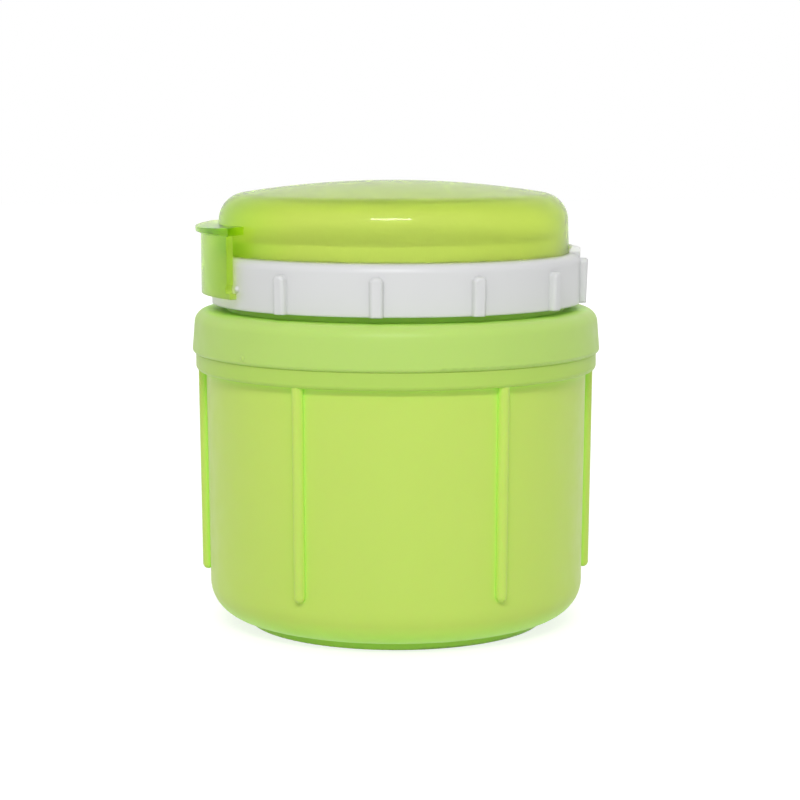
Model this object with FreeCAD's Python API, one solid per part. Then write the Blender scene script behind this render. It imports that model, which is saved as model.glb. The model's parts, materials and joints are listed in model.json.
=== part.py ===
"""Insulated food jar with a screw lid, a loose stopper and a hinged, latched flip cover.

Millimetres and degrees. Origin at the centre of the foot's underside, +Z up, hinge at +X, latch at -X.
"""
import FreeCAD, Part
import math
import os

from FreeCAD import Vector

# Outer shell
wall_top_radius = 58.3
wall_draft = 0.7
shell_wall = 2.2
body_height = 78.4
base_corner = 10.5
foot_inset = 11.7
foot_width = 3.0
foot_height = 2.6
foot_edge_round = 0.8
band_height = 5.4
band_proud = 3.1
band_edge_round = 1.5
rim_step = 0.9
rib_count = 6
rib_width = 3.3
rib_height = 2.5
rib_bottom = 15.5
rib_first_angle = -67.9

# Neck collar
collar_height = 13.1
collar_skirt = 3.1
collar_draft = 0.75
collar_corner = 4.0
collar_edge_round = 1.2
collar_wall = 2.2
collar_clearance = 0.2
neck_inset = 7.4
neck_wall = 2.2
neck_height = 9.1
neck_edge_round = 0.6

# Food bowl and insulation
bowl_wall = 0.8
bowl_clearance = 0.4
bowl_taper = 2.0
bowl_corner = 12.0
bowl_lip = 1.4
bowl_lip_reach = 1.6
foam_base = 9.0
foam_gap = 0.3

# Stopper
stopper_clearance = 1.4
stopper_depth = 12.0
stopper_corner = 3.0
stopper_wall = 1.6
stopper_flange_reach = 2.9
stopper_flange = 1.2
stopper_top = 1.2
stopper_rib_height = 2.0
stopper_rib_width = 1.2
stopper_rib_clearance = 0.2
gasket_thickness = 1.4
gasket_clearance = 0.2
seal_gap = 0.2

# Screw lid
lid_gap = 0.3
thread_space = 2.3
ring_wall = 2.2
ring_gap = 2.0
ring_round = 2.6
deck_wall = 2.2
spigot_clearance = 0.45
spigot_wall = 2.0
spigot_height = 4.6
spigot_edge_round = 0.7
grip_spacing = 30.0
grip_width = 3.7
grip_low_height = 1.9
grip_top_height = 2.4
grip_top_drop = 3.7
grip_tall_drop = 1.4
grip_top_chamfer = 1.0
grip_edge_chamfer = 0.6

# Flip cover
seat_gap = 0.3
cover_inset = 2.65
cover_shift = 0.8
cover_draft = 0.35
cover_height = 21.55
cover_corner = 8.5
crown_rise = 3.55
cover_wall = 2.0

# Hinge
knuckle_radius = 2.0
knuckle_length = 22.4
knuckle_room = 0.4
hinge_inset = 0.2
ear_width = 4.0
ear_gap = 0.3
pin_radius = 0.9
pin_running_clearance = 0.05
pin_seat_clearance = 0.03
pin_end_inset = 0.4
pin_stop = 1.2
swing_room = 0.9
pocket_floor = 1.3
pocket_side = 1.5

# Latch
tab_gap = 1.1
tab_wall = 2.1
tab_length = 20.2
tab_half_angle = 24.3
lip_level = 8.1
lip_reach = 1.7
lip_tip = 1.5
lip_root = 2.4
lip_slope = 4.5
lip_bow_radius = 47.0
lip_half_angle = 25.0
catch_half_angle = 26.2
catch_height = 1.7
nub_angle = 24.8
nub_radius = 0.95
nub_proud = 0.8
nub_level = 2.9
nub_notch_room = 0.35

# Levels from the ground up
band_top = body_height + band_height
shoulder_top = band_top + collar_height
shoulder_under = shoulder_top - collar_wall
neck_top = shoulder_top + neck_height
bowl_rim_top = neck_top + bowl_lip
gasket_bottom = bowl_rim_top + seal_gap
flange_bottom = gasket_bottom + gasket_thickness
flange_top = flange_bottom + stopper_flange
stopper_top_level = flange_top + stopper_top
ring_bottom = shoulder_top + ring_gap
deck_bottom = stopper_top_level + lid_gap
deck_top = deck_bottom + deck_wall
cover_bottom = deck_top + seat_gap
cover_apex = cover_bottom + cover_height
lip_top = cover_bottom + lip_level
tab_bottom = lip_top - tab_length
nub_z = tab_bottom + nub_level

# Radii that follow from the body's radius and the fits
wall_low_radius = wall_top_radius - wall_draft
corner_centre = (wall_low_radius - base_corner, foot_height + base_corner)
foot_radius = wall_low_radius - foot_inset
band_radius = wall_top_radius + band_proud
rim_radius = wall_top_radius + rim_step
rim_top = shoulder_under - foam_gap
skirt_inner = rim_radius + collar_clearance
collar_low_radius = skirt_inner + collar_skirt
neck_radius = rim_radius - neck_inset
neck_inner = neck_radius - neck_wall
bowl_outer = neck_inner - bowl_clearance
bowl_low_outer = bowl_outer - bowl_taper
bowl_bottom = foot_height + shell_wall + foam_base + 2 * foam_gap
stopper_outer = bowl_outer - bowl_wall - stopper_clearance
stopper_inner = stopper_outer - stopper_wall
flange_radius = stopper_outer + stopper_flange_reach
ring_inner = neck_radius + thread_space
ring_radius = ring_inner + ring_wall
cover_radius = ring_radius - cover_inset
spigot_outer = cover_radius - cover_wall - spigot_clearance
spigot_inner = spigot_outer - spigot_wall
tab_inner = ring_radius + tab_gap
tab_outer = tab_inner + tab_wall

# Hinge axis: just inside the cover's outer face, at its lower edge
hinge_x = cover_radius - cover_shift - hinge_inset
hinge_z = cover_bottom
knuckle_half = knuckle_length / 2
ear_start = knuckle_half + ear_gap
ear_end = ear_start + ear_width

latch_direction = 180.0
hinge_direction = 0.0
quarter_middle = 45.0


def polar(centre, radius, degrees):
    """Point of a circle in the profile plane, as (r, z)."""
    angle = math.radians(degrees)
    return (centre[0] + radius * math.cos(angle), centre[1] + radius * math.sin(angle))


def profile(start, *steps):
    """Closed face in the XZ plane. A step is an end point, or a middle and an end point for an arc."""
    def at(point):
        return Vector(point[0], 0, point[1])

    edges = []
    here = start
    for step in steps + (start,):
        if isinstance(step[0], tuple):
            edges.append(Part.Arc(at(here), at(step[0]), at(step[1])).toShape())
            here = step[1]
        elif math.dist(here, step) > 1e-6:
            edges.append(Part.LineSegment(at(here), at(step)).toShape())
            here = step
    return Part.Face(Part.Wire(edges))


def turned(face):
    """Full solid of revolution about the jar's axis."""
    return face.revolve(Vector(0, 0, 0), Vector(0, 0, 1), 360)


def sector(face, direction, half_angle):
    """Part of a revolution, centred on a direction counted from +X."""
    solid = face.revolve(Vector(0, 0, 0), Vector(0, 0, 1), 2 * half_angle)
    solid.rotate(Vector(0, 0, 0), Vector(0, 0, 1), direction - half_angle)
    return solid


def block(r_low, r_high, z_low, z_high):
    """Rectangular profile."""
    return profile((r_low, z_low), (r_high, z_low), (r_high, z_high), (r_low, z_high))


def rod(radius, y_low, y_high):
    """Cylinder on the hinge axis."""
    return Part.makeCylinder(radius, y_high - y_low, Vector(hinge_x, y_low, hinge_z), Vector(0, 1, 0))


def upright(radius, low, high):
    """Round bar at +X from a low to a high (r, z) point, with a ball at its low end."""
    base = Vector(low[0], 0, low[1])
    along = Vector(high[0], 0, high[1]) - base
    bar = Part.makeCylinder(radius, along.Length, base, along)
    return bar.fuse(Part.makeSphere(radius, base))


def towards_latch(shape):
    """Copy moved from the jar's axis to the axis of the cover and its spigot."""
    copy = shape.copy()
    copy.translate(Vector(-cover_shift, 0, 0))
    return copy


def about_axis(shape, degrees):
    """Copy turned about the jar's axis."""
    copy = shape.copy()
    copy.rotate(Vector(0, 0, 0), Vector(0, 0, 1), degrees)
    return copy


def rounded(shape, radius, *circles):
    """Fillet on the circular edges given as (r, z)."""
    edges = [edge for edge in shape.Edges if isinstance(edge.Curve, Part.Circle)
             and any(abs(edge.Curve.Radius - r) < 1e-4 and abs(edge.Curve.Center.z - z) < 1e-4
                     for r, z in circles)]
    return shape.makeFillet(radius, edges)


def outer_shell():
    """Body with a tapered wall, a stepped rim under the collar, a foot ring and raised ribs."""
    inside_corner = base_corner - shell_wall
    body = turned(profile(
        (0, foot_height),
        (corner_centre[0], foot_height),
        (polar(corner_centre, base_corner, -quarter_middle), (wall_low_radius, corner_centre[1])),
        (wall_top_radius, body_height),
        (band_radius, body_height),
        (band_radius, band_top),
        (rim_radius, band_top),
        (rim_radius, rim_top),
        (wall_top_radius - shell_wall, rim_top),
        (wall_top_radius - shell_wall, body_height),
        (wall_low_radius - shell_wall, corner_centre[1]),
        (polar(corner_centre, inside_corner, -quarter_middle), (corner_centre[0], foot_height + shell_wall)),
        (0, foot_height + shell_wall)))
    body = rounded(body, band_edge_round, (band_radius, body_height))
    foot = turned(block(foot_radius - foot_width, foot_radius, 0, foot_height + shell_wall / 2))
    foot = rounded(foot, foot_edge_round, (foot_radius, 0))
    rib_bar = rib_width / 2
    rib = upright(rib_bar,
                  (wall_low_radius + rib_height - rib_bar, rib_bottom + rib_bar),
                  (wall_top_radius + rib_height - rib_bar, body_height + band_edge_round))
    ribs = [about_axis(rib, rib_first_angle + index * 360 / rib_count) for index in range(rib_count)]
    inside = turned(block(0, wall_low_radius - shell_wall, corner_centre[1], body_height))
    return body.fuse([foot] + ribs).cut(inside).removeSplitter()


def neck_collar():
    """Skirt over the shell's rim, rounded shoulder and the neck that takes the screw lid."""
    top_radius = collar_low_radius - collar_draft
    round_centre = (top_radius - collar_corner, shoulder_top - collar_corner)
    collar = turned(profile(
        (skirt_inner, band_top),
        (collar_low_radius, band_top),
        (top_radius, round_centre[1]),
        (polar(round_centre, collar_corner, quarter_middle), (round_centre[0], shoulder_top)),
        (neck_radius, shoulder_top),
        (neck_radius, neck_top),
        (neck_inner, neck_top),
        (neck_inner, shoulder_under),
        (skirt_inner, shoulder_under)))
    collar = rounded(collar, collar_edge_round, (collar_low_radius, band_top))
    return rounded(collar, neck_edge_round, (neck_radius, neck_top))


def inner_bowl():
    """Drawn steel bowl with a rolled lip that hangs on the neck."""
    low_centre = (bowl_low_outer - bowl_corner, bowl_bottom + bowl_corner)
    inside_corner = bowl_corner - bowl_wall
    lip_centre = (bowl_outer + bowl_lip_reach, neck_top + bowl_lip / 2)
    lip_round_centre = (bowl_outer - bowl_wall + bowl_lip / 2, bowl_rim_top - bowl_lip / 2)
    return turned(profile(
        (0, bowl_bottom),
        (low_centre[0], bowl_bottom),
        (polar(low_centre, bowl_corner, -quarter_middle), (bowl_low_outer, low_centre[1])),
        (bowl_outer, neck_top),
        (lip_centre[0], neck_top),
        (polar(lip_centre, bowl_lip / 2, 0), (lip_centre[0], bowl_rim_top)),
        (lip_round_centre[0], bowl_rim_top),
        (polar(lip_round_centre, bowl_lip / 2, 180 - quarter_middle),
         (bowl_outer - bowl_wall, lip_round_centre[1])),
        (bowl_outer - bowl_wall, neck_top),
        (bowl_low_outer - bowl_wall, low_centre[1]),
        (polar(low_centre, inside_corner, -quarter_middle), (low_centre[0], bowl_bottom + bowl_wall)),
        (0, bowl_bottom + bowl_wall)))


def body_foam():
    """Insulation that fills the space between the shell and the bowl."""
    outside_corner = base_corner - shell_wall - foam_gap
    floor = foot_height + shell_wall + foam_gap
    wall_low = wall_low_radius - shell_wall - foam_gap
    wall_top = wall_top_radius - shell_wall - foam_gap
    low_centre = (bowl_low_outer - bowl_corner, bowl_bottom + bowl_corner)
    inside_corner = bowl_corner + foam_gap
    return turned(profile(
        (0, floor),
        (corner_centre[0], floor),
        (polar(corner_centre, outside_corner, -quarter_middle), (wall_low, corner_centre[1])),
        (wall_top, body_height),
        (wall_top, rim_top),
        (bowl_outer + foam_gap, rim_top),
        (bowl_low_outer + foam_gap, low_centre[1]),
        (polar(low_centre, inside_corner, -quarter_middle), (low_centre[0], bowl_bottom - foam_gap)),
        (0, bowl_bottom - foam_gap)))


def inner_lid_cup():
    """Lower cup of the stopper, with the flange that the gasket seals."""
    floor = bowl_rim_top - stopper_depth
    round_centre = (stopper_outer - stopper_corner, floor + stopper_corner)
    return turned(profile(
        (0, floor),
        (round_centre[0], floor),
        (polar(round_centre, stopper_corner, -quarter_middle), (stopper_outer, round_centre[1])),
        (stopper_outer, flange_bottom),
        (flange_radius, flange_bottom),
        (flange_radius, flange_top),
        (stopper_inner, flange_top),
        (stopper_inner, round_centre[1]),
        (round_centre[0], floor + stopper_wall),
        (0, floor + stopper_wall)))


def inner_lid_top():
    """Disc that closes the stopper, located by a ring rib inside the cup."""
    rib_outer = stopper_inner - stopper_rib_clearance
    return turned(profile(
        (0, flange_top),
        (rib_outer - stopper_rib_width, flange_top),
        (rib_outer - stopper_rib_width, flange_top - stopper_rib_height),
        (rib_outer, flange_top - stopper_rib_height),
        (rib_outer, flange_top),
        (flange_radius, flange_top),
        (flange_radius, stopper_top_level),
        (0, stopper_top_level)))


def inner_lid_foam():
    """Insulation inside the stopper."""
    floor = bowl_rim_top - stopper_depth + stopper_wall + foam_gap
    top = flange_top - stopper_rib_height - foam_gap
    outer = stopper_inner - foam_gap
    low_outer = stopper_outer - stopper_corner - foam_gap
    chamfer_top = bowl_rim_top - stopper_depth + stopper_corner + foam_gap
    return turned(profile((0, floor), (low_outer, floor), (outer, chamfer_top), (outer, top), (0, top)))


def lid_gasket():
    """Silicone ring between the stopper's flange and the bowl's lip."""
    inner = stopper_outer + gasket_clearance
    gasket = turned(block(inner, flange_radius, gasket_bottom, flange_bottom))
    return rounded(gasket, gasket_thickness / 3, (inner, gasket_bottom), (flange_radius, gasket_bottom))


def lid_body():
    """Ring, deck and spigot of the screw lid, the spigot set a little towards the latch."""
    round_centre = (ring_radius - ring_round, deck_top - ring_round)
    lid = turned(profile(
        (ring_inner, ring_bottom),
        (ring_radius, ring_bottom),
        (ring_radius, round_centre[1]),
        (polar(round_centre, ring_round, quarter_middle), (round_centre[0], deck_top)),
        (0, deck_top),
        (0, deck_bottom),
        (ring_inner, deck_bottom)))
    spigot_top = deck_top + spigot_height
    spigot = turned(block(spigot_inner, spigot_outer, deck_bottom + deck_wall / 2, spigot_top))
    spigot = rounded(spigot, spigot_edge_round, (spigot_outer, spigot_top))
    return lid.fuse(towards_latch(spigot))


def grip_rib(top):
    """Flat-crested rib on the ring at +X, up to a level, with bevelled top corners and edges."""
    inner = ring_inner + ring_wall / 2
    face = profile((inner, ring_bottom),
                   (ring_radius + grip_low_height, ring_bottom),
                   (ring_radius + grip_top_height, top),
                   (inner, top))
    face.translate(Vector(0, -grip_width / 2, 0))
    rib = face.extrude(Vector(0, grip_width, 0))
    corners = [edge for edge in rib.Edges
               if all(abs(vertex.Z - top) < 1e-6 for vertex in edge.Vertexes)
               and abs(edge.Vertexes[0].Y - edge.Vertexes[1].Y) < 1e-6]
    rib = rib.makeChamfer(grip_top_chamfer, corners)
    crest = max(rib.Faces, key=lambda side: side.CenterOfMass.x)
    rim = [edge for edge in crest.Edges if edge.CenterOfMass.z > ring_bottom + grip_edge_chamfer]
    return rib.makeChamfer(grip_edge_chamfer, rim)


def grip_ribs():
    """Ribs round the ring, left out beside the latch tab and taller under the hinge ears."""
    low_rib = grip_rib(deck_top - grip_top_drop)
    tall_rib = grip_rib(deck_top - grip_tall_drop)
    ribs = []
    for index in range(round(360 / grip_spacing)):
        turn = (index + 0.5) * grip_spacing
        from_latch = abs(turn - latch_direction)
        if from_latch > 180 - grip_spacing:
            ribs.append(about_axis(tall_rib, turn))
        elif from_latch > grip_spacing:
            ribs.append(about_axis(low_rib, turn))
    return ribs


def catch_nubs():
    """Two small bumps that the latch tab's ends snap under."""
    nub = Part.makeSphere(nub_radius, Vector(ring_radius + nub_proud - nub_radius, 0, nub_z))
    return [about_axis(nub, latch_direction + side * nub_angle) for side in (-1, 1)]


def hinge_ears():
    """Pair of ears on the lid's rim, trimmed to the ring."""
    ears = rod(knuckle_radius, -ear_end, -ear_start).fuse(rod(knuckle_radius, ear_start, ear_end))
    return ears.common(turned(block(0, ring_radius, deck_bottom, hinge_z + knuckle_radius)))


def knuckle_pocket():
    """Room in the lid for the cover's knuckle and for the cover's wall when it swings down."""
    trough = rod(knuckle_radius + knuckle_room, -ear_start, ear_start)
    floor = hinge_z - knuckle_radius - swing_room
    reach = ring_radius + tab_wall - hinge_x
    gate = Part.makeBox(reach, 2 * ear_start, cover_height, Vector(hinge_x, -ear_start, floor))
    return trough.fuse(gate)


def screw_lid():
    """White screw lid: threaded ring, tray floor, spigot, grips, nubs and hinge ears."""
    half_angle = math.degrees(math.asin((ear_start + pocket_side) / ring_inner))
    pocket_bottom = hinge_z - knuckle_radius - swing_room - pocket_floor
    pocket = sector(block(flange_radius + lid_gap, ring_inner + ring_wall / 2, pocket_bottom,
                          deck_bottom + deck_wall / 2), hinge_direction, half_angle)
    lid = lid_body().fuse(grip_ribs() + catch_nubs() + [pocket, hinge_ears()])
    pin_hole = rod(pin_radius + pin_seat_clearance, pin_stop - ear_end, ear_end)
    return lid.cut([knuckle_pocket(), pin_hole]).removeSplitter()


def hinge_pin():
    """Wire pin pushed through one ear and the knuckle into the other ear's blind hole."""
    return rod(pin_radius, pin_stop + pin_end_inset - ear_end, ear_end - pin_end_inset)


def cover_shell():
    """Domed cover of one wall thickness, with the crown tangent to the rounded corner."""
    corner = (cover_radius - cover_draft - cover_corner, cover_apex - crown_rise - cover_corner)
    crown = 2 * math.degrees(math.atan(crown_rise / corner[0]))
    crown_radius = cover_corner + corner[0] / math.sin(math.radians(crown))
    crown_centre = (0, cover_apex - crown_radius)
    inside_corner = cover_corner - cover_wall
    middle = quarter_middle - crown / 2
    return turned(profile(
        (cover_radius - cover_wall, cover_bottom),
        (cover_radius, cover_bottom),
        (corner[0] + cover_corner, corner[1]),
        (polar(corner, cover_corner, middle), polar(corner, cover_corner, 90 - crown)),
        (polar(crown_centre, crown_radius, 90 - crown / 2), (0, cover_apex)),
        (0, cover_apex - cover_wall),
        (polar(crown_centre, crown_radius - cover_wall, 90 - crown / 2),
         polar(corner, inside_corner, 90 - crown)),
        (polar(corner, inside_corner, middle), (corner[0] + inside_corner, corner[1]))))


def latch_tab():
    """Thumb lip and tab that hang from the cover outside the ring, with catch ends under the nubs."""
    root = cover_radius + cover_shift - cover_wall / 2
    lip_under = lip_top - lip_root
    lip_outer = tab_outer + lip_reach
    lip = sector(profile(
        (root, lip_under),
        (tab_outer, lip_under),
        (lip_outer, lip_top - lip_tip),
        (lip_outer, lip_top),
        (root, lip_top)), latch_direction, lip_half_angle)
    lip.rotate(Vector(-lip_outer, 0, lip_top), Vector(0, 1, 0), -lip_slope)
    bow_centre = Vector(lip_bow_radius - lip_outer, 0, tab_bottom)
    lip = lip.common(Part.makeCylinder(lip_bow_radius, 2 * tab_length, bow_centre))
    tab_top = lip_top - lip_tip / 2
    tab = sector(block(tab_inner, tab_outer, tab_bottom, tab_top), latch_direction, tab_half_angle)
    catch = sector(block(tab_inner, tab_outer, tab_bottom, tab_bottom + catch_height),
                   latch_direction, catch_half_angle)
    notch = Part.makeCylinder(nub_radius + nub_notch_room, lip_outer, Vector(0, 0, nub_z), Vector(1, 0, 0))
    notches = [about_axis(notch, latch_direction + side * nub_angle) for side in (-1, 1)]
    return lip.fuse([tab, catch]).cut(notches)


def flip_cover():
    """Cover with its latch tab, its knuckle and the notches that clear the lid's ears."""
    notch_end = ear_end + ear_gap
    notch_radius = knuckle_radius + ear_gap
    notches = [rod(notch_radius, -notch_end, -knuckle_half), rod(notch_radius, knuckle_half, notch_end)]
    cover = towards_latch(cover_shell()).cut(notches)
    cover = cover.fuse([latch_tab(), rod(knuckle_radius, -knuckle_half, knuckle_half)])
    bore = rod(pin_radius + pin_running_clearance, -notch_end, notch_end)
    return cover.cut(bore).removeSplitter()


os.makedirs("parts", exist_ok=True)
pieces = (outer_shell, neck_collar, inner_bowl, body_foam, inner_lid_cup, inner_lid_top, inner_lid_foam,
          lid_gasket, screw_lid, hinge_pin, flip_cover)
for piece in pieces:
    shape = piece()
    shape.exportStep("parts/" + piece.__name__ + ".step")
    print(piece.__name__, shape.isValid(), len(shape.Solids), round(shape.Volume))
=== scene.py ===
"""Looks of the insulated food jar: finishes, screw threads, mould marks, light and camera. Metres."""
import json
import math

import bmesh
import bpy
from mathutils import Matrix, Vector


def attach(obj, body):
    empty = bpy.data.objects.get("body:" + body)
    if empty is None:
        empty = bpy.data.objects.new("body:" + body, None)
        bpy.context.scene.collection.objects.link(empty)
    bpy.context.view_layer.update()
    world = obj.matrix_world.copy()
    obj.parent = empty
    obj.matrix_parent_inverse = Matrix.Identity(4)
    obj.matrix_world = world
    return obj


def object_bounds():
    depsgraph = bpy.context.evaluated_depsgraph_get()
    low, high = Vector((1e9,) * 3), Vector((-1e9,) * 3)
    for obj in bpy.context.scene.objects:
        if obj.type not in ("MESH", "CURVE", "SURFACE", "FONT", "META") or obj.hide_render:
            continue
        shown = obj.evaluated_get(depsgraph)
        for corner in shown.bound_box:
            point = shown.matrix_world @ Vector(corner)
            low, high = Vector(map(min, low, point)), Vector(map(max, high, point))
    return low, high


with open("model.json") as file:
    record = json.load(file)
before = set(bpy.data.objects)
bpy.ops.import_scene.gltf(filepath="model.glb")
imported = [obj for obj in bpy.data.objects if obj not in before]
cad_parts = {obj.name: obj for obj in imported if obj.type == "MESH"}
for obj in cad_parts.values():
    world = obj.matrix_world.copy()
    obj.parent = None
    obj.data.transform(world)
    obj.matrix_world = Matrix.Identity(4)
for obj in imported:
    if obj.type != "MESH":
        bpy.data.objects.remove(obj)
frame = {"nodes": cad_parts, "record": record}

cad_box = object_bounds()
MM = 0.001

# View of the photograph
VIEW_AZIMUTH = math.radians(-9.4)
VIEW_ELEVATION = math.radians(7.83)
VIEW_DISTANCE = 0.696
VIEW_CENTRE = Vector((0.0, 0.0, 63.43 * MM))
LENS_MM = 101.2
SENSOR_MM = 36.0
SHIFT = (0.005, 0.0188)

# Light
WORLD_FILL = 0.62
KEY_ASIDE = math.radians(-2.0)
KEY_ELEVATION = math.radians(37.0)
KEY_DISTANCE = 1.2
KEY_BOX = (0.5, 0.10)
KEY_POWER = 5.8
REAR_ELEVATION = math.radians(30.0)
REAR_DISTANCE = 1.4
REAR_BOX = (0.8, 0.5)
REAR_POWER = 4.0
FLOOR_SIZE = 6.0
FLOOR_DROP = 0.05 * MM
FLOOR_GLOW = 0.76
FLOOR_SOFT = (0.4, 0.4, 0.4, 1)

# Screw threads, in millimetres and degrees, with the taper as a share of the length
NECK_RADIUS = 51.8
RING_INNER = 54.1
THREAD_PITCH = 4.5
THREAD_RISE = 4.8
THREAD_HEIGHT = 0.95
THREAD_BASE = 2.4
THREAD_CREST = 1.0
THREAD_SINK = 0.2
THREAD_START = -25.0
THREAD_STEP = 2.5
THREAD_TAPER = 0.07
NECK_THREAD_LOW = 99.6

# Gate marks, in millimetres and degrees
COLLAR_GATE_ANGLE = -144.9
COLLAR_GATE_RADIUS = 62.33
COLLAR_GATE_LEVEL = 85.9
COLLAR_GATE_SIZE = (1.1, 0.28)
BASE_UNDERSIDE = 2.6
BASE_GATE_SIZE = (3.0, 0.5)
GATE_RINGS = 4
GATE_SPOKES = 20

# Cover's side at the tab, and where its painted tab reflection has faded out, in millimetres along X
TAB_SIDE = -58.0
CLEAR_SIDE = -36.0

# Heights of the band's and the collar's lower edges and of the tray's edge, in millimetres
BAND_BOTTOM = 78.4
COLLAR_BOTTOM = 83.8
TRAY_LEVEL = 114.2

# Colours, as display values from 0 to 1
LIME = (0.765, 0.870, 0.400)
# Painted shade: the band under the collar's overhang is painted darker than the body
LIME_BAND_PAINTED_SHADE = (0.706, 0.833, 0.385)
LIME_COLLAR = (0.716, 0.842, 0.437)
LIME_CLEAR = (0.915, 0.951, 0.711)
# Painted reflection: the cover's tab side is painted greener for the tab's reflection and the light it passes
# on
LIME_TAB_PAINTED_REFLECTION = (0.850, 0.951, 0.545)
# Painted light in recesses, for light that comes through the plastic into shade
LIME_RECESS_PAINTED_LIGHT = (0.790, 1.000, 0.430)
WHITE = (0.850, 0.853, 0.857)
# Painted light: the lid's tray side is painted lighter, for light that the tray and spigot give back through
# the cover
TRAY_WHITE_PAINTED_LIGHT = (0.940, 0.942, 0.945)
SILICONE = (0.86, 0.87, 0.86)
STEEL = (0.83, 0.83, 0.84)
FOAM = (0.93, 0.89, 0.77)
DARK_STREAK = 0.985
LIGHT_STREAK = 1.012

# What the cover's plastic takes from light on its way, scene-linear and per metre
COVER_DEPTH_COLOUR = (0.861, 0.955, 0.089, 1.0)
COVER_DEPTH_DENSITY = 170.0


def linear(colour):
    """Scene-linear colour with alpha from display values."""
    parts = [c / 12.92 if c <= 0.04045 else ((c + 0.055) / 1.055) ** 2.4 for c in colour]
    return (*parts, 1.0)


def shade(colour, factor):
    """Darker or lighter copy of a display colour."""
    return tuple(min(1.0, c * factor) for c in colour)


class Finish:
    """Node material round one Principled shader."""

    def __init__(self, name):
        self.material = bpy.data.materials.new(name)
        self.material.use_nodes = True
        self.tree = self.material.node_tree
        self.shader = self.tree.nodes["Principled BSDF"]

    def set(self, **values):
        """Constant values on the shader's own sockets."""
        for name, value in values.items():
            self.shader.inputs[name.replace("_", " ")].default_value = value
        return self

    def node(self, kind, inputs=None, **settings):
        """New node with its settings and input values."""
        made = self.tree.nodes.new(kind)
        for name, value in settings.items():
            setattr(made, name, value)
        for name, value in (inputs or {}).items():
            made.inputs[name].default_value = value
        return made

    def link(self, output, target):
        self.tree.links.new(output, target)

    def position(self, stretch=(1.0, 1.0, 1.0)):
        """Place on the piece, stretched along its axes."""
        place = self.node("ShaderNodeTexCoord")
        mapping = self.node("ShaderNodeMapping", {"Scale": stretch})
        self.link(place.outputs["Object"], mapping.inputs["Vector"])
        return mapping.outputs["Vector"]

    def noise(self, scale, detail=3.0, stretch=(1.0, 1.0, 1.0)):
        """Noise from 0 to 1, scale in features per metre."""
        noise = self.node("ShaderNodeTexNoise", {"Scale": scale, "Detail": detail})
        self.link(self.position(stretch), noise.inputs["Vector"])
        return noise.outputs["Fac"]

    def ramp(self, factor, low, high, low_value, high_value):
        """Factor from low to high mapped to low_value to high_value."""
        span = self.node("ShaderNodeMapRange", {"From Min": low, "From Max": high,
                                                "To Min": low_value, "To Max": high_value})
        self.link(factor, span.inputs["Value"])
        return span.outputs["Result"]

    def blend(self, factor, colour_a, colour_b):
        """Colour that goes from one to another with a factor. Each is display values or a socket."""
        mix = self.node("ShaderNodeMix", data_type="RGBA")
        self.link(factor, mix.inputs[0])
        for colour, target in ((colour_a, mix.inputs[6]), (colour_b, mix.inputs[7])):
            if isinstance(colour, tuple):
                target.default_value = linear(colour)
            else:
                self.link(colour, target)
        return mix.outputs[2]

    def streaked(self, factor, colour):
        """Slight streaks in one colour."""
        return self.blend(factor, shade(colour, DARK_STREAK), shade(colour, LIGHT_STREAK))

    def above(self, low, high, axis="Z"):
        """Factor from 0 below one place on an axis to 1 above another."""
        place = self.node("ShaderNodeSeparateXYZ")
        self.link(self.position(), place.inputs[0])
        return self.ramp(place.outputs[axis], low, high, 0.0, 1.0)

    def recess(self, reach):
        """Factor from 0 on open faces to 1 in gaps narrower than reach."""
        hollow = self.node("ShaderNodeAmbientOcclusion", {"Distance": reach}, samples=8)
        return self.ramp(hollow.outputs["AO"], 0.25, 0.85, 1.0, 0.0)

    def paint(self, colour):
        """Base colour from a socket."""
        self.link(colour, self.shader.inputs["Base Color"])

    def mottle(self, factor, colour_a, colour_b):
        """Base colour that wanders between two colours."""
        self.paint(self.blend(factor, colour_a, colour_b))

    def rough(self, factor, low, high):
        """Roughness that wanders between two values."""
        self.link(self.ramp(factor, 0.3, 0.7, low, high), self.shader.inputs["Roughness"])

    def bump(self, heights, distance, strength, edge=0.0):
        """Small relief, with softened edges where edge gives their radius."""
        relief = self.node("ShaderNodeBump", {"Strength": strength, "Distance": distance})
        self.link(heights, relief.inputs["Height"])
        if edge:
            soft = self.node("ShaderNodeBevel", {"Radius": edge}, samples=6)
            self.link(soft.outputs["Normal"], relief.inputs["Normal"])
        self.link(relief.outputs["Normal"], self.shader.inputs["Normal"])


def lime_plastic():
    """Satin moulded plastic with a fine grain.

    It is painted greener and brighter in its recesses, as painted light for light that comes through the
    plastic into shade. The band is painted darker and a little greener than the body, as painted shade under
    the collar's overhang. The collar is a shade greener than the body.
    """
    finish = Finish("lime_plastic").set(IOR=1.46, Specular_IOR_Level=0.28, Subsurface_Weight=0.4,
                                        Subsurface_Radius=(0.6, 1.0, 0.3), Subsurface_Scale=2.0 * MM)
    streaks = finish.noise(38.0, 4.0, (1.0, 1.0, 0.35))
    colour = finish.streaked(streaks, LIME)
    # The band's colour is painted shade under the collar; the collar's colour is its own tone
    for level, tone_and_band_shade in ((BAND_BOTTOM, LIME_BAND_PAINTED_SHADE), (COLLAR_BOTTOM, LIME_COLLAR)):
        edge = finish.above(level * MM, (level + 0.1) * MM)
        colour = finish.blend(edge, colour, finish.streaked(streaks, tone_and_band_shade))
    # Painted light: recesses and gaps are painted greener and brighter for light that comes through the
    # plastic
    finish.paint(finish.blend(finish.recess(12.0 * MM), colour, LIME_RECESS_PAINTED_LIGHT))
    finish.rough(finish.noise(160.0, 3.0), 0.36, 0.46)
    finish.bump(finish.noise(2600.0, 2.0), 0.02 * MM, 0.35, 0.35 * MM)
    return finish.material


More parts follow.
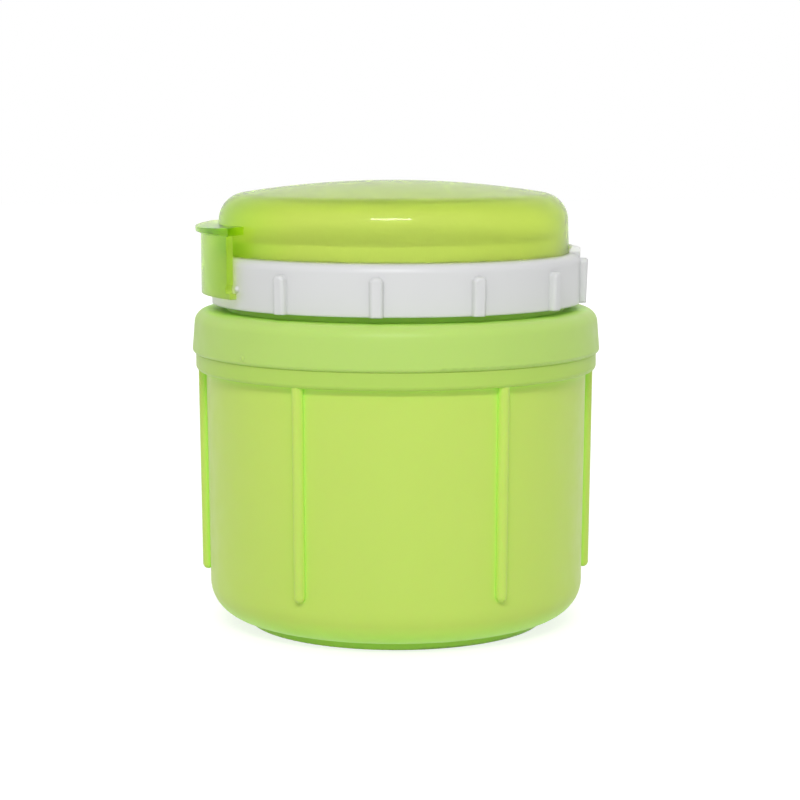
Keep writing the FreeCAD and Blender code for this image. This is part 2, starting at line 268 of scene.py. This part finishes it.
def white_plastic():
    """Smooth white moulded plastic, painted lighter above the tray's edge as painted light on the tray side
    seen through the cover.
    """
    finish = Finish("white_plastic").set(IOR=1.46, Subsurface_Weight=0.3, Subsurface_Radius=(1.0, 1.0, 1.0),
                                         Subsurface_Scale=1.5 * MM)
    outside = finish.blend(finish.noise(45.0, 4.0), shade(WHITE, 0.985), WHITE)
    # Painted light: lighter above the tray's edge
    finish.paint(finish.blend(finish.above(TRAY_LEVEL * MM, (TRAY_LEVEL + 0.4) * MM), outside, TRAY_WHITE_PAINTED_LIGHT))
    finish.rough(finish.noise(140.0, 3.0), 0.30, 0.40)
    finish.bump(finish.noise(1800.0, 2.0), 0.02 * MM, 0.25, 0.9 * MM)
    return finish.material


def lime_translucent():
    """Glossy, cloudy see-through lime plastic, deeper in colour where it is thick, and painted greener
    towards the tab as painted reflection of the tab.
    """
    finish = Finish("lime_translucent").set(IOR=1.12, Transmission_Weight=1.0, Coat_Weight=0.42,
                                            Coat_Roughness=0.015, Coat_IOR=1.45)
    clear = finish.blend(finish.noise(55.0, 4.0), shade(LIME_CLEAR, 0.99), shade(LIME_CLEAR, 1.005))
    # Painted reflection: greener towards the tab, clear colour beyond
    finish.paint(finish.blend(finish.above(TAB_SIDE * MM, CLEAR_SIDE * MM, "X"), LIME_TAB_PAINTED_REFLECTION, clear))
    finish.rough(finish.noise(90.0, 3.0), 0.34, 0.40)
    finish.bump(finish.noise(1500.0, 2.0), 0.005 * MM, 0.1, 0.3 * MM)
    depth = finish.node("ShaderNodeVolumeAbsorption",
                        {"Color": COVER_DEPTH_COLOUR, "Density": COVER_DEPTH_DENSITY})
    finish.link(depth.outputs["Volume"], finish.tree.nodes["Material Output"].inputs["Volume"])
    return finish.material


def brushed_steel():
    """Drawn steel with fine rings round the bowl."""
    finish = Finish("brushed_steel").set(Metallic=1.0)
    rings = finish.noise(900.0, 3.0, (0.03, 0.03, 1.0))
    finish.mottle(rings, shade(STEEL, 0.94), shade(STEEL, 1.04))
    finish.rough(rings, 0.24, 0.38)
    finish.bump(rings, 0.01 * MM, 0.3)
    return finish.material


def wire_steel():
    """Bright drawn wire."""
    finish = Finish("wire_steel").set(Metallic=1.0)
    lines = finish.noise(2500.0, 2.0, (1.0, 0.04, 1.0))
    finish.mottle(lines, shade(STEEL, 0.95), shade(STEEL, 1.08))
    finish.rough(lines, 0.15, 0.28)
    finish.bump(lines, 0.005 * MM, 0.3)
    return finish.material


def silicone():
    """Soft milky rubber with a dusty bloom."""
    finish = Finish("silicone").set(IOR=1.41, Subsurface_Weight=0.3, Subsurface_Scale=2.0 * MM)
    finish.mottle(finish.noise(120.0, 4.0), shade(SILICONE, 0.97), SILICONE)
    finish.rough(finish.noise(400.0, 3.0), 0.48, 0.62)
    finish.bump(finish.noise(2200.0, 2.0), 0.02 * MM, 0.3)
    return finish.material


def cell_foam():
    """Rigid insulating foam with fine cells."""
    finish = Finish("cell_foam").set(IOR=1.3)
    finish.mottle(finish.noise(90.0, 4.0), shade(FOAM, 0.92), FOAM)
    finish.rough(finish.noise(700.0, 3.0), 0.8, 0.95)
    cells = finish.node("ShaderNodeTexVoronoi", {"Scale": 900.0})
    finish.link(finish.position(), cells.inputs["Vector"])
    finish.bump(cells.outputs["Distance"], 0.3 * MM, 0.6)
    return finish.material


def dress_nodes(finishes):
    """Finishes on the CAD pieces, by the record's material slots."""
    for subpart in frame["record"]["subparts"]:
        mesh = frame["nodes"][subpart["node"]].data
        mesh.materials.clear()
        mesh.materials.append(finishes[subpart["material_slot"]])


def add_threads(finishes):
    """Threads on the neck and inside the lid's ring, half a pitch apart, with room between their crests."""
    ring_low = NECK_THREAD_LOW + THREAD_PITCH / 2
    thread("neck_thread", NECK_RADIUS, 1, NECK_THREAD_LOW, "jar", "lime_plastic", finishes)
    thread("ring_thread", RING_INNER, -1, ring_low, "screw_lid", "white_plastic", finishes)


def mesh_piece(name, points, faces, body, slot, finishes):
    """New smooth piece, points in millimetres, that rides on a body."""
    mesh = bpy.data.meshes.new(name)
    mesh.from_pydata([[c * MM for c in point] for point in points], [], faces)
    mesh.validate()
    shape = bmesh.new()
    shape.from_mesh(mesh)
    bmesh.ops.recalc_face_normals(shape, faces=shape.faces)
    shape.to_mesh(mesh)
    shape.free()
    mesh.polygons.foreach_set("use_smooth", [True] * len(mesh.polygons))
    mesh.set_sharp_from_angle(angle=math.radians(25))
    mesh.materials.append(finishes[slot])
    piece = bpy.data.objects.new(name, mesh)
    bpy.context.scene.collection.objects.link(piece)
    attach(piece, body)


def thread(name, radius, outward, low, body, slot, finishes):
    """Screw thread on a round wall, tapered into it at both ends. outward is 1 outside, -1 inside."""
    turn = 2 * math.pi * THREAD_RISE / THREAD_PITCH
    steps = round(turn / math.radians(THREAD_STEP))
    points = []
    for index in range(steps + 1):
        along = index / steps
        swell = math.sin(math.pi / 2 * min(1.0, along / THREAD_TAPER, (1 - along) / THREAD_TAPER))
        middle = low + THREAD_RISE * along
        crest = radius + outward * (THREAD_HEIGHT * swell - THREAD_SINK * (1 - swell))
        foot = radius - outward * THREAD_SINK
        angle = math.radians(THREAD_START) + turn * along
        for reach, width in ((foot, -THREAD_BASE), (crest, -THREAD_CREST), (crest, THREAD_CREST),
                             (foot, THREAD_BASE)):
            height = middle + width / 2 * (0.3 + 0.7 * swell)
            points.append((reach * math.cos(angle), reach * math.sin(angle), height))
    faces = [(0, 1, 2, 3), tuple(4 * steps + corner for corner in (3, 2, 1, 0))]
    for index in range(steps):
        for corner in range(4):
            near, far = 4 * index + corner, 4 * index + (corner + 1) % 4
            faces.append((near, near + 4, far + 4, far))
    mesh_piece(name, points, faces, body, slot, finishes)


def gate_mark(name, centre, outward, size, finishes):
    """Low round trace of the moulding gate on a face of the lime jar. size is radius and height."""
    radius, height = size
    turn = Vector(outward).to_track_quat("Z", "Y")
    points = [Vector(centre) + turn @ Vector((0, 0, height))]
    for ring in range(1, GATE_RINGS + 1):
        out = ring / GATE_RINGS
        level = height * (1 - 1.6 * out ** 3)
        for spoke in range(GATE_SPOKES):
            angle = 2 * math.pi * spoke / GATE_SPOKES
            local = (radius * out * math.cos(angle), radius * out * math.sin(angle), level)
            points.append(Vector(centre) + turn @ Vector(local))
    faces = [(0, 1 + spoke, 1 + (spoke + 1) % GATE_SPOKES) for spoke in range(GATE_SPOKES)]
    for ring in range(GATE_RINGS - 1):
        first = 1 + ring * GATE_SPOKES
        for spoke in range(GATE_SPOKES):
            near, after = first + spoke, first + (spoke + 1) % GATE_SPOKES
            faces.append((near, near + GATE_SPOKES, after + GATE_SPOKES, after))
    mesh_piece(name, points, faces, "jar", "lime_plastic", finishes)


def add_gate_marks(finishes):
    """Traces of moulding on the collar's lower edge and under the base."""
    angle = math.radians(COLLAR_GATE_ANGLE)
    aside = (math.cos(angle), math.sin(angle), 0.0)
    on_collar = (COLLAR_GATE_RADIUS * aside[0], COLLAR_GATE_RADIUS * aside[1], COLLAR_GATE_LEVEL)
    gate_mark("collar_gate_mark", on_collar, aside, COLLAR_GATE_SIZE, finishes)
    gate_mark("base_gate_mark", (0.0, 0.0, BASE_UNDERSIDE), (0.0, 0.0, -1.0), BASE_GATE_SIZE, finishes)


def backdrop_mix(tree, plain, bright):
    """Bright shader for what the camera, mirrors and clear pieces see, plain shader for the rest."""
    path = tree.nodes.new("ShaderNodeLightPath")
    seen = path.outputs["Is Camera Ray"]
    for name in ("Is Glossy Ray", "Is Transmission Ray"):
        both = tree.nodes.new("ShaderNodeMath")
        both.operation = "MAXIMUM"
        tree.links.new(seen, both.inputs[0])
        tree.links.new(path.outputs[name], both.inputs[1])
        seen = both.outputs[0]
    mix = tree.nodes.new("ShaderNodeMixShader")
    tree.links.new(seen, mix.inputs[0])
    tree.links.new(plain, mix.inputs[1])
    tree.links.new(bright, mix.inputs[2])
    return mix.outputs[0]


def make_world():
    """White surroundings that fill the shadows softly."""
    world = bpy.data.worlds.new("studio")
    bpy.context.scene.world = world
    world.use_nodes = True
    tree = world.node_tree
    fill = tree.nodes["Background"]
    fill.inputs["Strength"].default_value = WORLD_FILL
    fill.inputs["Color"].default_value = (1, 1, 1, 1)
    white = tree.nodes.new("ShaderNodeBackground")
    white.inputs["Color"].default_value = (1, 1, 1, 1)
    mixed = backdrop_mix(tree, fill.outputs[0], white.outputs[0])
    tree.links.new(mixed, tree.nodes["World Output"].inputs["Surface"])


def make_floor():
    """Plain white floor that keeps a soft shadow."""
    mesh = bpy.data.meshes.new("floor")
    half = FLOOR_SIZE / 2
    z = cad_box[0][2] - FLOOR_DROP
    corners = [(-half, -half, z), (half, -half, z), (half, half, z), (-half, half, z)]
    mesh.from_pydata(corners, [], [(0, 1, 2, 3)])
    floor = bpy.data.objects.new("floor", mesh)
    bpy.context.scene.collection.objects.link(floor)
    finish = Finish("floor_paint").set(Roughness=0.9)
    finish.mottle(finish.noise(3.0), (0.90, 0.90, 0.90), (0.92, 0.92, 0.92))
    glow = finish.node("ShaderNodeEmission", {"Color": (1, 1, 1, 1), "Strength": FLOOR_GLOW})
    soft = finish.node("ShaderNodeBsdfDiffuse", {"Color": FLOOR_SOFT})
    both = finish.node("ShaderNodeAddShader")
    finish.link(glow.outputs[0], both.inputs[0])
    finish.link(soft.outputs[0], both.inputs[1])
    mixed = backdrop_mix(finish.tree, finish.shader.outputs[0], both.outputs[0])
    finish.link(mixed, finish.tree.nodes["Material Output"].inputs["Surface"])
    mesh.materials.append(finish.material)


def direction(azimuth, elevation):
    """Unit vector from the jar towards a place, azimuth counted from -Y towards +X."""
    flat = math.cos(elevation)
    return Vector((math.sin(azimuth) * flat, -math.cos(azimuth) * flat, math.sin(elevation)))


def area_light(name, azimuth, elevation, distance, box, power):
    """Soft box aimed at the jar."""
    light = bpy.data.lights.new(name, "AREA")
    light.shape = "RECTANGLE"
    light.size, light.size_y = box
    light.energy = power
    lamp = bpy.data.objects.new(name, light)
    place = direction(azimuth, elevation) * distance
    lamp.location = VIEW_CENTRE + place
    lamp.rotation_euler = (-place).to_track_quat("-Z", "Y").to_euler()
    bpy.context.scene.collection.objects.link(lamp)
    return lamp


def make_lights():
    """Strip box in front, which the cover mirrors, and a weaker fill behind, which leaves no mirror image."""
    area_light("key_box", VIEW_AZIMUTH + KEY_ASIDE, KEY_ELEVATION, KEY_DISTANCE, KEY_BOX, KEY_POWER)
    fill = area_light("rear_box", VIEW_AZIMUTH + math.pi, REAR_ELEVATION, REAR_DISTANCE, REAR_BOX, REAR_POWER)
    fill.visible_glossy = False
    fill.visible_transmission = False


def make_camera():
    """Camera at the photograph's viewing angle."""
    lens = bpy.data.cameras.new("camera")
    lens.lens = LENS_MM
    lens.sensor_width = SENSOR_MM
    lens.shift_x, lens.shift_y = SHIFT
    camera = bpy.data.objects.new("camera", lens)
    back = direction(VIEW_AZIMUTH, VIEW_ELEVATION) * VIEW_DISTANCE
    camera.location = VIEW_CENTRE + back
    camera.rotation_euler = (-back).to_track_quat("-Z", "Y").to_euler()
    bpy.context.scene.collection.objects.link(camera)
    bpy.context.scene.camera = camera


bpy.context.scene.view_settings.view_transform = "Standard"
finishes = {"lime_plastic": lime_plastic(), "white_plastic": white_plastic(),
            "lime_translucent": lime_translucent(), "steel": brushed_steel(), "pin_steel": wire_steel(),
            "silicone": silicone(), "foam": cell_foam()}
dress_nodes(finishes)
add_threads(finishes)
add_gate_marks(finishes)
make_world()
make_floor()
make_lights()
make_camera()
